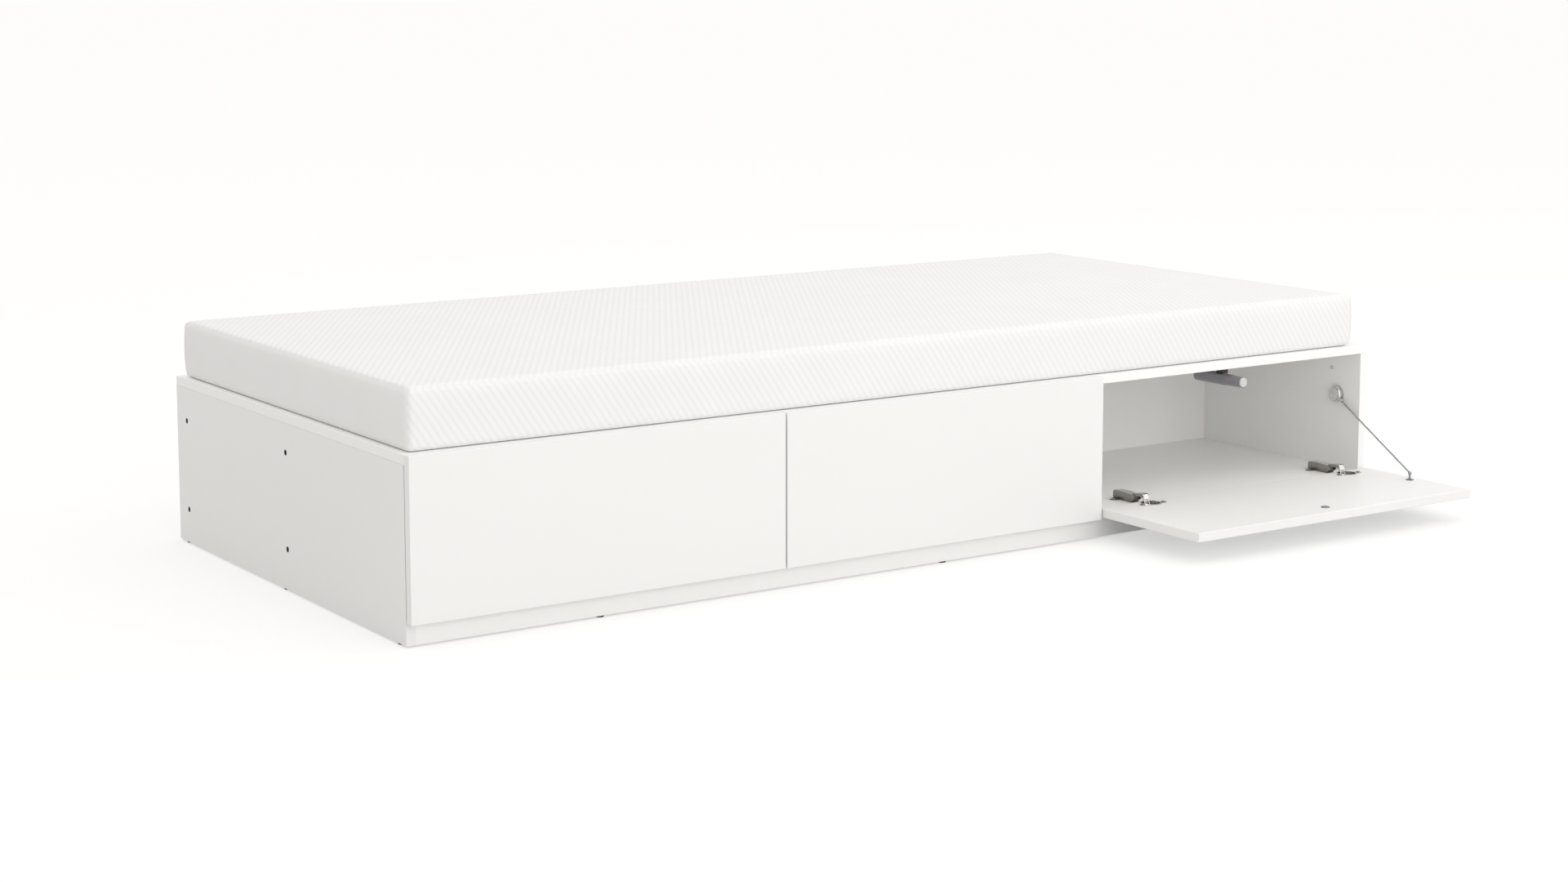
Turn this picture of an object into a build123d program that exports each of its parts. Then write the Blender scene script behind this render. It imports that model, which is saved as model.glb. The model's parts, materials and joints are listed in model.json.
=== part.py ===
from build123d import *
from math import atan2, cos, degrees, hypot, pi, radians, sin, tan
import os

# Storage bed: a low box with three bottom-hinged flap doors along its front and a foam mattress on its deck.
# Working frame in millimetres: X from the left end panel's outer face, Y from the carcass front to the back,
# Z up from the floor. Pieces are moved to the stored frame, the foot of the middle partition, when written.

# Carcass
length = 2050.0
depth = 918.0
height = 298.0
board = 16.0
glide_height = 3.0
floor_top = 52.0
partition_front = 432.0
back_recess = 37.0
deck_nose = 2.0
edge_bevel = 0.6

# Doors
door_count = 3
door_board = 16.0
door_reveal = 2.4
door_bottom = 38.0
door_joint = 3.0
open_angle = 90.0
hinge_inset_left = 106.0
hinge_inset_right = 75.0
standing_open = (False, False, True)

# Swing axis of a door, measured from its closed inner face and its bottom edge
axis_depth = 12.5
axis_rise = 7.3

# Concealed hinge
cup_radius = 17.5
cup_wall = 0.8
cup_depth = 12.4
cup_floor = 0.6
cup_edge = 3.0
cup_hole_clearance = 0.1
flange_thickness = 1.0
flange_reach = 24.0
flange_offset = 6.0
flange_ear = 6.5
flange_ring = 19.0
pin_radius = 0.9
pin_clearance = 0.05
slot_play = 0.4
eye_wall = 0.55
link_half = 1.2
front_cup_pin = (4.2, 0.6)
front_link_reach = 29.0
rear_cup_pin = (5.1, 3.6)
rear_link_reach = 24.3
elbow_forward = 1.7
elbow_drop = 6.3
front_link_half_width = 3.0
front_link_wide = 4.1
front_link_wide_share = 0.5
saddle_inner = 3.2
saddle_outer = 4.2
saddle_half = 1.6
rear_link_inner = 4.4
rear_link_outer = 5.8
cheek_inner = 6.1
cheek_outer = 7.3
link_web_inner = 1.9
link_web_outer = 2.7
link_web_share = 0.38
nose_half = 2.6
nose_roof_inner = 2.25
nose_roof_outer = 3.05
arm_back = 66.0
arm_front = 8.0
arm_top = 69.0
arm_dip = 66.6
arm_hump = 42.0
arm_half_width = 9.0
arm_wall = 1.2
arm_roof = 2.4
arm_corner = 3.0
arm_lift = 5.0
arm_gap = 12.0
plate_thickness = 2.0
plate_front = 16.0
plate_length = 48.0
plate_half_width = 9.0
wing_spacing = 32.0
wing_length = 13.0
wing_end = 8.0
wing_y = 55.0

# Flap stay
stay_y = 58.0
stay_z = 195.7
stay_radius = 16.0
stay_thickness = 12.0
stay_bevel = 2.0
cover_radius = 12.5
cover_rise = 1.0
nozzle_radius = 3.2
nozzle_reach = 24.0
nozzle_seat = 6.0
nozzle_root = 4.0
nozzle_clearance = 0.2
cable_radius = 1.25
cable_sides = 6
cable_from_wall = 8.0
bracket_rise = 12.9
bracket_along = 125.9
bracket_foot = 7.0
bracket_foot_thickness = 1.5
bracket_post = 2.0
ball_radius = 3.6
seat_gap = 0.3
slack_points = [
    (42.8, 186.1),
    (34.9, 181.1),
    (31.6, 168.5),
    (30.4, 154.5),
    (30.0, 140.5),
    (29.2, 128.0),
    (24.4, 123.2),
    (17.6, 123.2),
    (12.8, 128.0),
    (11.6, 140.5),
    (11.0, 154.0),
    (11.3, 167.4),
]

# Push latch
latch_z = 256.5
latch_radius = 11.4
latch_front = 31.0
latch_back = 109.0
latch_bevel = 3.0
latch_bore_end = 80.0
plunger_radius = 10.5
plunger_clearance = 0.1
plunger_stroke = 17.0
plunger_tail = 76.0
plunger_rim = 2.0
cap_radius = 9.0
cap_depth = 4.0
cap_bevel = 1.2
latch_base_width = 18.0
latch_base_thickness = 3.0
latch_base_overhang = 6.0
saddle_length = 16.0
saddle_width = 14.0
saddle_height = 8.0
saddle_inset_front = 2.0
saddle_inset_back = 20.0
strike_z = 262.0
strike_radius = 8.0
strike_thickness = 1.4

# Fixings
screw_head_radius = 3.6
screw_head_height = 1.2
screw_shank_radius = 1.6
screw_length = 11.0
screw_hole_spare = 0.2
panel_screw_head = 5.0
panel_screw_head_depth = 4.0
panel_screw_shank = 3.5
panel_screw_length = 50.0
panel_screw_socket = 2.3
panel_screw_socket_depth = 3.0
panel_screw_spare = 1.0
partition_screw_z = (71.0, 233.0)
back_screw_z = (63.0, 223.0)
dowel_radius = 4.0
dowel_length = 30.0
dowel_in_face = 11.0
fit = 0.05
shank_sides = 6
dowel_sides = 8
plug_radius = 4.0
plug_thickness = 1.0
plug_stem = 2.4
plug_depth = 8.0
plug_y = 74.5
plug_z = 245.5
glide_radius = 7.0
glide_margin = 30.0
glide_sides = 8
end_dowel_y = (150.0, 760.0)
row_dowel_share = 0.2
divider_dowel_y = 250.0
floor_dowel_y = (60.0, 380.0)

# Mattress
mattress_length = 2000.0
mattress_width = 894.0
mattress_edge = 100.0
mattress_crown = 3.0
mattress_bulge = 2.5
mattress_corner = 22.0
mattress_roll = 15.0
mattress_left = 11.0
mattress_front = 7.0

# How far a cutting solid runs past the face that it opens
over = 1.0

# Worked-out places
deck_bottom = height - board
wall_top = deck_bottom
partition_y = partition_front + board / 2
back_y = depth - back_recess - board / 2
door_width = (length - (door_count - 1) * door_joint) / door_count
door_pitch = door_width + door_joint
door_height = height - door_bottom
inner_face = -door_reveal
outer_face = inner_face - door_board
axis_y = inner_face - axis_depth
axis_z = door_bottom + axis_rise
divider_x = [length * k / door_count for k in range(1, door_count)]
right_walls = [x - board / 2 for x in divider_x] + [length - board]
cup_z = door_bottom + cup_edge + cup_radius
cup_inner = cup_radius - cup_wall
shift = Pos(-length / 2, -partition_y, 0)


def block(x0, x1, y0, y1, z0, z1):
    return Pos((x0 + x1) / 2, (y0 + y1) / 2, (z0 + z1) / 2) * Box(x1 - x0, y1 - y0, z1 - z0)


def rod(radius, run, sides):
    """An upright cylinder, or a prism with its corners on that radius where sides are given."""
    if sides is None:
        return Cylinder(radius, run)
    return extrude(RegularPolygon(radius, sides), run / 2, both=True)


def rod_x(x0, x1, y, z, radius, sides=None):
    return Pos((x0 + x1) / 2, y, z) * Rot(0, 90, 0) * rod(radius, x1 - x0, sides)


def rod_y(y0, y1, x, z, radius, sides=None):
    return Pos(x, (y0 + y1) / 2, z) * Rot(90, 0, 0) * rod(radius, y1 - y0, sides)


def rod_z(z0, z1, x, y, radius, sides=None):
    return Pos(x, y, (z0 + z1) / 2) * rod(radius, z1 - z0, sides)


def side_profile(face, x0, x1):
    return extrude(Plane.YZ.offset(x0) * face, x1 - x0)


def bar(p, q, half):
    run = hypot(q[0] - p[0], q[1] - p[1])
    turn = degrees(atan2(q[1] - p[1], q[0] - p[0]))
    return Pos((p[0] + q[0]) / 2, (p[1] + q[1]) / 2) * Rot(0, 0, turn) * SlotCenterToCenter(run, 2 * half)


def disc(p, radius):
    return Pos(p[0], p[1]) * Circle(radius)


def along(p, q, run):
    """The point at a run from p towards q."""
    total = hypot(q[0] - p[0], q[1] - p[1])
    return tuple(a + run / total * (b - a) for a, b in zip(p, q))


def turned(point, centre, angle):
    a = radians(angle)
    y, z = point[0] - centre[0], point[1] - centre[1]
    return (centre[0] + y * cos(a) - z * sin(a), centre[1] + y * sin(a) + z * cos(a))


def swing(shape, centre, angle):
    return Pos(0, centre[0], centre[1]) * Rot(angle, 0, 0) * Pos(0, -centre[0], -centre[1]) * shape


swing_axis = (axis_y, axis_z)


class Link:
    """A hinge link: its cup pin turns with the door, and its arm pin lies on the swing's half-way line."""

    def __init__(self, offset, reach):
        self.cup_closed = (axis_y + offset[0], axis_z + offset[1])
        self.cup_open = turned(self.cup_closed, swing_axis, open_angle)
        middle = turned(self.cup_closed, swing_axis, open_angle / 2)
        span = hypot(middle[0] - axis_y, middle[1] - axis_z)
        self.arm = tuple(c + reach * (m - c) / span for c, m in zip(swing_axis, middle))
        heading = [atan2(p[1] - self.arm[1], p[0] - self.arm[0]) for p in (self.cup_closed, self.cup_open)]
        self.turn = degrees((heading[1] - heading[0] + pi) % (2 * pi) - pi)
        self.length = hypot(self.cup_open[0] - self.arm[0], self.cup_open[1] - self.arm[1])
        self.travel = self.length - (reach - hypot(*offset)) + slot_play / 2

    def slot(self, half):
        """The slotted cup eye, with play towards the arm pin for the swing's middle part."""
        inner = along(self.cup_open, self.arm, self.travel)
        return bar(inner, self.cup_open, half)


front = Link(front_cup_pin, front_link_reach)
rear = Link(rear_cup_pin, rear_link_reach)
slot_half = pin_radius + slot_play
eye_half = slot_half + eye_wall


def edged_board(x0, x1, y0, y1, z0, z1):
    solid = block(x0, x1, y0, y1, z0, z1)
    return chamfer(solid.edges(), edge_bevel)


def write(name, *solids):
    pieces = [shift * solid for shape in solids for solid in shape.solids()]
    export_step(Compound(pieces) if len(pieces) > 1 else pieces[0], f"parts/{name}.step")


# Door and its hardware, closed, for the hinge centre lines xs


def rear_pin_spans(x):
    """The two rear cup pins, each from its link plate to the middle of the cup's wall."""
    rise = rear.cup_closed[1] - cup_z
    reach = (cup_inner**2 - rise**2) ** 0.5 + cup_wall / 2
    return [sorted((x + side * (rear_link_inner - 0.1), x + side * reach)) for side in (-1, 1)]


def cup_pins(x):
    pins = [rod_x(x - saddle_outer, x + saddle_outer, *front.cup_closed, pin_radius)]
    return pins + [rod_x(*span, *rear.cup_closed, pin_radius) for span in rear_pin_spans(x)]


def pin_saddle(x):
    """Two ears on the cup's floor that carry the front link's pin."""
    y, z = front.cup_closed
    floor = inner_face - cup_depth
    ear = disc((y, z), saddle_half) + Pos((floor + y) / 2, z) * Rectangle(y - floor, 2 * saddle_half)
    ear -= disc((y, z), pin_radius + pin_clearance)
    ears = side_profile(ear, x - saddle_outer, x - saddle_inner)
    return ears + side_profile(ear, x + saddle_inner, x + saddle_outer)


def flange_screws(x):
    z = cup_z + flange_offset
    top = inner_face + flange_thickness
    return [
        rod_y(top, top + screw_head_height, x + s * flange_reach, z, screw_head_radius)
        + rod_y(inner_face - screw_length, top, x + s * flange_reach, z, screw_shank_radius, shank_sides)
        for s in (-1, 1)
    ]


def flange_hole(x, y0, y1):
    return rod_y(y0, y1, x, cup_z + flange_offset, screw_shank_radius + fit, shank_sides)


def hinge_cup(x):
    """A deep-drawn cup with its screw flange, pinned through its wall."""
    ears = [Pos(s * flange_reach, flange_offset) * Circle(flange_ear) for s in (-1, 1)]
    ring = Circle(flange_ring) + ears + Pos(0, flange_offset) * Rectangle(2 * flange_reach, 2 * flange_ear)
    face_plane = Plane(origin=(x, inner_face, cup_z), x_dir=(-1, 0, 0), z_dir=(0, 1, 0))
    flange = extrude(face_plane * ring, flange_thickness)
    cup = rod_y(inner_face - cup_depth, inner_face, x, cup_z, cup_radius)
    mouth = inner_face + flange_thickness + over
    cavity = rod_y(inner_face - cup_depth + cup_floor, mouth, x, cup_z, cup_inner)
    cup = cup + flange - cavity + pin_saddle(x)
    for span in rear_pin_spans(x):
        cup -= rod_x(*span, *rear.cup_closed, pin_radius + pin_clearance)
    for hole_x in (x - flange_reach, x + flange_reach):
        cup -= flange_hole(hole_x, inner_face - over, mouth)
    return cup


def strike(x):
    plate = rod_y(inner_face, inner_face + strike_thickness, x, strike_z, strike_radius)
    rim = plate.edges().filter_by(GeomType.CIRCLE).group_by(Axis.Y)[-1]
    return chamfer(rim, strike_thickness / 2)


def stay_bracket(x):
    z = axis_z + bracket_along
    foot = rod_y(inner_face, inner_face + bracket_foot_thickness, x, z, bracket_foot)
    post = rod_y(inner_face, inner_face + bracket_rise, x, z, bracket_post)
    return foot + post + Pos(x, inner_face + bracket_rise, z) * Sphere(ball_radius)


def door_panel(x0, xs):
    panel = edged_board(x0, x0 + door_width, outer_face, inner_face, door_bottom, height)
    hole_floor = inner_face - screw_length - screw_hole_spare
    mouth = inner_face + over
    for x in xs:
        cup_floor_y = inner_face - cup_depth - cup_hole_clearance
        panel -= rod_y(cup_floor_y, mouth, x, cup_z, cup_radius + cup_hole_clearance)
        for hole_x in (x - flange_reach, x + flange_reach):
            panel -= flange_hole(hole_x, hole_floor, mouth)
    return panel


# Hinge pieces on the carcass


def link_body(link, path, x0, x1):
    """A flat link drawn in the open pose: a bent bar with a hub at the arm and a slotted eye at the cup."""
    outline = disc(link.arm, eye_half) + link.slot(eye_half)
    for p, q in zip(path, path[1:]):
        outline += bar(p, q, link_half)
    outline -= disc(link.arm, pin_radius + pin_clearance)
    outline -= link.slot(slot_half)
    return side_profile(outline, x0, x1)


front_elbow = (front.cup_open[0] + elbow_forward, front.arm[1] - elbow_drop)


def front_link(x):
    """A bent link, wide from its elbow half-way to the cup and narrow at its eye, between the pin's ears."""
    path = [front.arm, front_elbow, front.cup_open]
    link = link_body(front, path, x - front_link_half_width, x + front_link_half_width)
    reach = front_link_wide_share * hypot(front.cup_open[0] - front_elbow[0], front.cup_open[1] - front_elbow[1])
    broad = bar(front_elbow, along(front_elbow, front.cup_open, reach), link_half)
    broad += bar(along(front_elbow, front.arm, reach), front_elbow, link_half)
    return link + side_profile(broad, x - front_link_wide, x + front_link_wide)


def rear_web(inner, outer):
    """The strip between two offsets to the outer side of the rear link's centre line, from its arm pin."""
    run = (rear.cup_open[0] - rear.arm[0], rear.cup_open[1] - rear.arm[1])
    size = hypot(*run)
    out = (run[1] / size, -run[0] / size)
    ends = [rear.arm, tuple(a + link_web_share * r for a, r in zip(rear.arm, run))]
    offsets = (inner, inner, outer, outer)
    corners = [tuple(c + k * o for c, o in zip(end, out)) for end, k in zip(ends + ends[::-1], offsets)]
    return make_face(Polyline(*corners, close=True))


def rear_link(x):
    """A pressed yoke: two plates joined by a web on their outer side and by the tube on its arm pin."""
    path = [rear.arm, rear.cup_open]
    yoke = link_body(rear, path, x - rear_link_outer, x - rear_link_inner)
    yoke += link_body(rear, path, x + rear_link_inner, x + rear_link_outer)
    tube = disc(rear.arm, eye_half) - disc(rear.arm, pin_radius + pin_clearance)
    yoke += side_profile(tube, x - rear_link_outer, x + rear_link_outer)
    flank = rear_web(0, link_web_outer) - disc(rear.arm, pin_radius + pin_clearance)
    for x0 in (x - rear_link_outer, x + rear_link_inner):
        yoke += side_profile(flank, x0, x0 + rear_link_outer - rear_link_inner)
    web = rear_web(link_web_inner, link_web_outer)
    return yoke + side_profile(web, x - rear_link_outer, x + rear_link_outer)


def arm_cover():
    """Side view of the arm's wide part: high at the back, dipping and raised off the floor at the nose."""
    foot = floor_top + plate_thickness
    points = [
        (arm_back, foot),
        (arm_back, arm_top),
        (arm_hump, arm_top),
        (arm_front + arm_corner, arm_dip),
        (arm_front, arm_dip),
        (arm_front, foot + arm_lift),
        (plate_front, foot),
    ]
    radii = [0, 2 * arm_corner, 2 * arm_corner, arm_corner, arm_corner / 2, arm_corner / 2, arm_corner]
    return make_face(FilletPolyline(*points, radius=radii, close=True))


def hinge_arm(x):
    """A pressed arm: a wide cover over its plate and a narrow nose whose cheeks hold both link pins."""
    foot = floor_top + plate_thickness
    span = (x - cheek_outer, x + cheek_outer)
    section = Pos(x, foot) * RectangleRounded(2 * arm_half_width, 2 * (arm_top - foot), arm_corner)
    cover = side_profile(arm_cover(), x - arm_half_width, x + arm_half_width)
    cover &= extrude(Plane.XZ.offset(-arm_back - over) * section, arm_back - arm_front + 2 * over)
    hollow_half = arm_half_width - arm_wall
    hollow_top = arm_dip - arm_roof
    cover -= block(x - hollow_half, x + hollow_half, plate_front, arm_back - arm_wall, foot - over, hollow_top)
    root = (arm_front + 2 * nose_half, front.arm[1] - nose_half)
    nose = bar(rear.arm, front.arm, nose_half) + bar(front.arm, root, nose_half)
    roof = nose_roof()
    gullet = block(x - cheek_inner, x + cheek_inner, outer_face, arm_gap, foot - over, arm_top + cup_radius)
    pins = disc(front.arm, pin_radius + pin_clearance) + disc(rear.arm, pin_radius + pin_clearance)
    arm = cover + side_profile(nose + roof, *span) - gullet + side_profile(roof, *span)
    return arm - side_profile(pins, x - cheek_outer - over, x + cheek_outer + over)


def nose_roof():
    """The web over the nose, clear of both links' hubs, from the cover to the rear pin."""
    start = (arm_gap + arm_wall, front.arm[1] + nose_roof_inner - arm_wall)
    lower, upper = (
        [(front.arm[0], front.arm[1] + rise), (rear.arm[0] + pin_radius, rear.arm[1] + rise)]
        for rise in (nose_roof_inner, nose_roof_outer)
    )
    low_start = (start[0], start[1] - arm_wall)
    return make_face(Polyline(low_start, *lower, *reversed(upper), start, close=True))


def arm_pins(x):
    return [rod_x(x - cheek_outer, x + cheek_outer, *link.arm, pin_radius) for link in (front, rear)]


def wing_holes(x):
    return (x - wing_spacing / 2, x + wing_spacing / 2)


def hinge_plate(x):
    """A cross-shaped mounting plate with a screw wing to each side."""
    z0, z1 = floor_top, floor_top + plate_thickness
    spine = block(x - plate_half_width, x + plate_half_width, plate_front, plate_front + plate_length, z0, z1)
    wing = Pos(x, wing_y, z0) * SlotOverall(wing_spacing + 2 * wing_end, wing_length)
    plate = spine + extrude(wing, plate_thickness)
    for hole_x in wing_holes(x):
        plate -= rod_z(z0 - over, z1 + over, hole_x, wing_y, screw_shank_radius + fit, shank_sides)
    return plate


def plate_screws(x):
    top = floor_top + plate_thickness
    return [
        rod_z(top, top + screw_head_height, hole_x, wing_y, screw_head_radius)
        + rod_z(floor_top - screw_length, top, hole_x, wing_y, screw_shank_radius, shank_sides)
        for hole_x in wing_holes(x)
    ]


# Flap stay


def stay_line(wall):
    """The taut cable's line in the side view: the stay's centre, the ball's centre with the door open, x."""
    ball_closed = (inner_face + bracket_rise, axis_z + bracket_along)
    return (stay_y, stay_z), turned(ball_closed, swing_axis, open_angle), wall - cable_from_wall


def tilted_rod(p, q, x, radius, sides=None):
    middle = ((p[0] + q[0]) / 2, (p[1] + q[1]) / 2)
    run = hypot(q[0] - p[0], q[1] - p[1])
    tilt = degrees(atan2(q[1] - p[1], q[0] - p[0]))
    return Pos(x, *middle) * Rot(tilt, 0, 0) * Rot(90, 0, 0) * rod(radius, run, sides)


def stay_housing(wall):
    """A round cable housing on the wall: a drum with a raised cover and a nozzle along the taut cable."""
    centre, ball, x = stay_line(wall)
    drum_face = wall - stay_thickness + cover_rise
    drum = rod_x(drum_face, wall, stay_y, stay_z, stay_radius)
    rim = drum.edges().filter_by(GeomType.CIRCLE).group_by(Axis.X)[0]
    drum = chamfer(rim, stay_bevel) + rod_x(drum_face - cover_rise, drum_face, stay_y, stay_z, cover_radius)
    root, mouth = along(centre, ball, stay_radius - nozzle_root), along(centre, ball, nozzle_reach)
    nozzle = tilted_rod(root, mouth, x, nozzle_radius)
    seat = along(centre, ball, nozzle_reach - nozzle_seat - over)
    outside = along(centre, ball, nozzle_reach + over)
    return drum + nozzle - tilted_rod(seat, outside, x, cable_radius + nozzle_clearance)


def slack_cable(wall):
    """The cable with the door closed: it hangs from the nozzle in a bight and rises to the ball."""
    x = wall - cable_from_wall
    points = [Vector(x, y, z) for y, z in slack_points]
    radii = []
    for a, b, c in zip(points, points[1:], points[2:]):
        turn = radians((b - a).get_angle(c - b))
        shorter = min((b - a).length, (c - b).length)
        radii.append(0.45 * shorter / tan(turn / 2))
    path = FilletPolyline(*points, radius=radii)
    square_to_path = Plane(origin=points[0], x_dir=(1, 0, 0), z_dir=path % 0)
    section = square_to_path * RegularPolygon(cable_radius, cable_sides)
    tube = sweep(section, path=path)
    ratio = tube.volume / section.area / path.length
    print("slack cable radii", [round(r, 1) for r in radii], "volume ratio", round(ratio, 6))
    return tube


def taut_cable(wall):
    centre, ball, x = stay_line(wall)
    run = hypot(ball[0] - centre[0], ball[1] - centre[1])
    start = along(centre, ball, nozzle_reach - nozzle_seat)
    return tilted_rod(start, along(centre, ball, run - ball_radius - seat_gap), x, cable_radius, cable_sides)


# Push latch, with its plunger pushed in


def latch_barrel(x):
    barrel = rod_y(latch_front, latch_back, x, latch_z, latch_radius)
    rim = barrel.edges().filter_by(GeomType.CIRCLE).group_by(Axis.Y)[-1]
    bore = rod_y(latch_front - over, latch_bore_end, x, latch_z, plunger_radius + plunger_clearance)
    return chamfer(rim, latch_bevel) - bore


def latch_bracket(x):
    """A screw base under the deck with two saddles that hold the barrel."""
    half = latch_base_width / 2
    base_bottom = deck_bottom - latch_base_thickness
    base = block(x - half, x + half, latch_front - latch_base_overhang, latch_back, base_bottom, deck_bottom)
    saddle_bottom = latch_z + latch_radius - saddle_height / 2
    side = saddle_width / 2
    for y in (latch_front + saddle_inset_front, latch_back - saddle_inset_back):
        base += block(x - side, x + side, y, y + saddle_length, saddle_bottom, base_bottom)
    front_end, back_end = latch_front - 2 * latch_base_overhang, latch_back + over
    return base - rod_y(front_end, back_end, x, latch_z, latch_radius + fit)


plunger_tip = inner_face + strike_thickness + seat_gap


def latch_plunger(x):
    """The sliding sleeve, with a shallow seat for its cap in the front end."""
    front_end = plunger_tip + plunger_rim
    sleeve = rod_y(front_end, plunger_tail, x, latch_z, plunger_radius)
    return sleeve - rod_y(front_end - over, plunger_tip + cap_depth, x, latch_z, cap_radius)


def latch_cap(x):
    """The buffer that touches the strike plate."""
    cap = rod_y(plunger_tip, plunger_tip + cap_depth, x, latch_z, cap_radius)
    rim = cap.edges().filter_by(GeomType.CIRCLE).group_by(Axis.Y)[0]
    return chamfer(rim, cap_bevel)


# Carcass pieces


def panel_screw(side, y, z):
    """A connecting screw through an end panel; side is -1 for the left end, 1 for the right."""
    outside = 0.0 if side < 0 else length

    def stretch(a, b, radius, sides=None):
        ends = sorted((outside - side * a, outside - side * b))
        return rod_x(*ends, y, z, radius, sides)

    screw = stretch(0, panel_screw_head_depth, panel_screw_head)
    screw += stretch(panel_screw_head_depth, panel_screw_length, panel_screw_shank, shank_sides)
    socket = Plane(origin=(outside, y, z), z_dir=(-side, 0, 0)) * RegularPolygon(panel_screw_socket, 6)
    return screw - extrude(socket, panel_screw_socket_depth)


def panel_screw_space(side, y, z):
    outside = 0.0 if side < 0 else length

    def stretch(a, b, radius, sides=None):
        ends = sorted((outside - side * a, outside - side * b))
        return rod_x(*ends, y, z, radius, sides)

    shank_end = panel_screw_length + panel_screw_spare
    head = stretch(-over, panel_screw_head_depth, panel_screw_head + fit)
    return head + stretch(0, shank_end, panel_screw_shank + fit, shank_sides)


screw_places = [(side, y, z) for side in (-1, 1) for y, zs in
                ((partition_y, partition_screw_z), (back_y, back_screw_z)) for z in zs]
screw_spaces = [panel_screw_space(*place) for place in screw_places]

upright = dowel_length - dowel_in_face
row_dowel_x = (length * row_dowel_share, length * (1 - row_dowel_share))


def deck_dowel(x, y, slack=0.0):
    low, high = deck_bottom - upright - slack, deck_bottom + dowel_in_face + slack
    return rod_z(low, high, x, y, dowel_radius + slack, dowel_sides)


def floor_dowel(side, y, slack=0.0):
    x = board if side < 0 else length - board
    ends = sorted((x + side * (dowel_in_face + slack), x - side * (upright + slack)))
    return rod_x(*ends, y, floor_top - board / 2, dowel_radius + slack, dowel_sides)


dowel_places = [(x, y) for x in (board / 2, length - board / 2) for y in end_dowel_y]
dowel_places += [(x, y) for x in row_dowel_x for y in (partition_y, back_y)]
dowel_places += [(x, divider_dowel_y) for x in divider_x]


def all_dowels(slack=0.0):
    upright_ones = [deck_dowel(x, y, slack) for x, y in dowel_places]
    return upright_ones + [floor_dowel(side, y, slack) for side in (-1, 1) for y in floor_dowel_y]


dowels = all_dowels()
dowel_spaces = all_dowels(fit)


def plug(wall):
    head = rod_x(wall - plug_thickness, wall, plug_y, plug_z, plug_radius)
    return head + rod_x(wall, wall + plug_depth, plug_y, plug_z, plug_stem, shank_sides)


def plug_space(wall):
    hole_floor = wall + plug_depth + screw_hole_spare
    return rod_x(wall - over, hole_floor, plug_y, plug_z, plug_stem + fit, shank_sides)


plug_spaces = [plug_space(wall) for wall in right_walls]


def drilled(panel):
    """The panel less every screw, dowel and plug that enters it."""
    box = panel.bounding_box()
    for space in screw_spaces + dowel_spaces + plug_spaces:
        other = space.bounding_box()
        apart = any(
            a > b
            for a, b in (
                (other.min.X, box.max.X), (box.min.X, other.max.X),
                (other.min.Y, box.max.Y), (box.min.Y, other.max.Y),
                (other.min.Z, box.max.Z), (box.min.Z, other.max.Z),
            )
        )
        if not apart:
            panel = panel - space
    return panel


def hinge_screw_holes(panel):
    hole_floor = floor_top - screw_length - screw_hole_spare
    for hole_x in [hole_x for x in all_hinges for hole_x in wing_holes(x)]:
        panel -= rod_z(hole_floor, floor_top + over, hole_x, wing_y, screw_shank_radius + fit, shank_sides)
    return panel


def glide(x, y):
    return rod_z(0, glide_height, x, y, glide_radius, glide_sides)


def glide_places():
    end_places = (glide_margin, depth / 2, depth - glide_margin)
    rows = [(x, y) for x in (board / 2, length - board / 2) for y in end_places]
    for y in (board / 2, partition_y, back_y):
        rows += [(x, y) for x in (length / 6, length / 2, length * 5 / 6)]
    return rows


def mattress():
    """A crowned foam block: a plan with rounded corners, cut by the arched end and side outlines."""
    x0, x1 = mattress_left, mattress_left + mattress_length
    y0, y1 = mattress_front, mattress_front + mattress_width
    z0 = height

    def outline(a, b):
        top = z0 + mattress_edge
        roll = mattress_roll
        c = roll * (1 - 0.5**0.5)
        lower = z0 + mattress_edge / 2
        edges = [
            Line((a + roll / 2, z0), (b - roll / 2, z0)),
            ThreePointArc((b - roll / 2, z0), (b - c / 2, z0 + c / 2), (b, z0 + roll / 2)),
            ThreePointArc((b, z0 + roll / 2), (b + mattress_bulge, lower), (b, top - roll)),
            ThreePointArc((b, top - roll), (b - c, top - c), (b - roll, top)),
            ThreePointArc((b - roll, top), ((a + b) / 2, top + mattress_crown), (a + roll, top)),
            ThreePointArc((a + roll, top), (a + c, top - c), (a, top - roll)),
            ThreePointArc((a, top - roll), (a - mattress_bulge, lower), (a, z0 + roll / 2)),
            ThreePointArc((a, z0 + roll / 2), (a + c / 2, z0 + c / 2), (a + roll / 2, z0)),
        ]
        return make_face(Wire(edges))

    end_view = extrude(Plane.YZ.offset(x0 - 10) * outline(y0, y1), mattress_length + 20)
    side_view = extrude(Plane.XZ.offset(-(y1 + 10)) * outline(x0, x1), mattress_width + 20)
    grow = mattress_bulge
    plan = Pos((x0 + x1) / 2, (y0 + y1) / 2, z0) * RectangleRounded(
        mattress_length + 2 * grow, mattress_width + 2 * grow, mattress_corner
    )
    return end_view & side_view & extrude(plan, mattress_edge + mattress_crown + 5)


# Build and write everything

os.makedirs("parts", exist_ok=True)

door_left = [k * door_pitch for k in range(door_count)]
hinge_lines = [(x + hinge_inset_left, x + door_width - hinge_inset_right) for x in door_left]
all_hinges = [x for pair in hinge_lines for x in pair]

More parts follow.
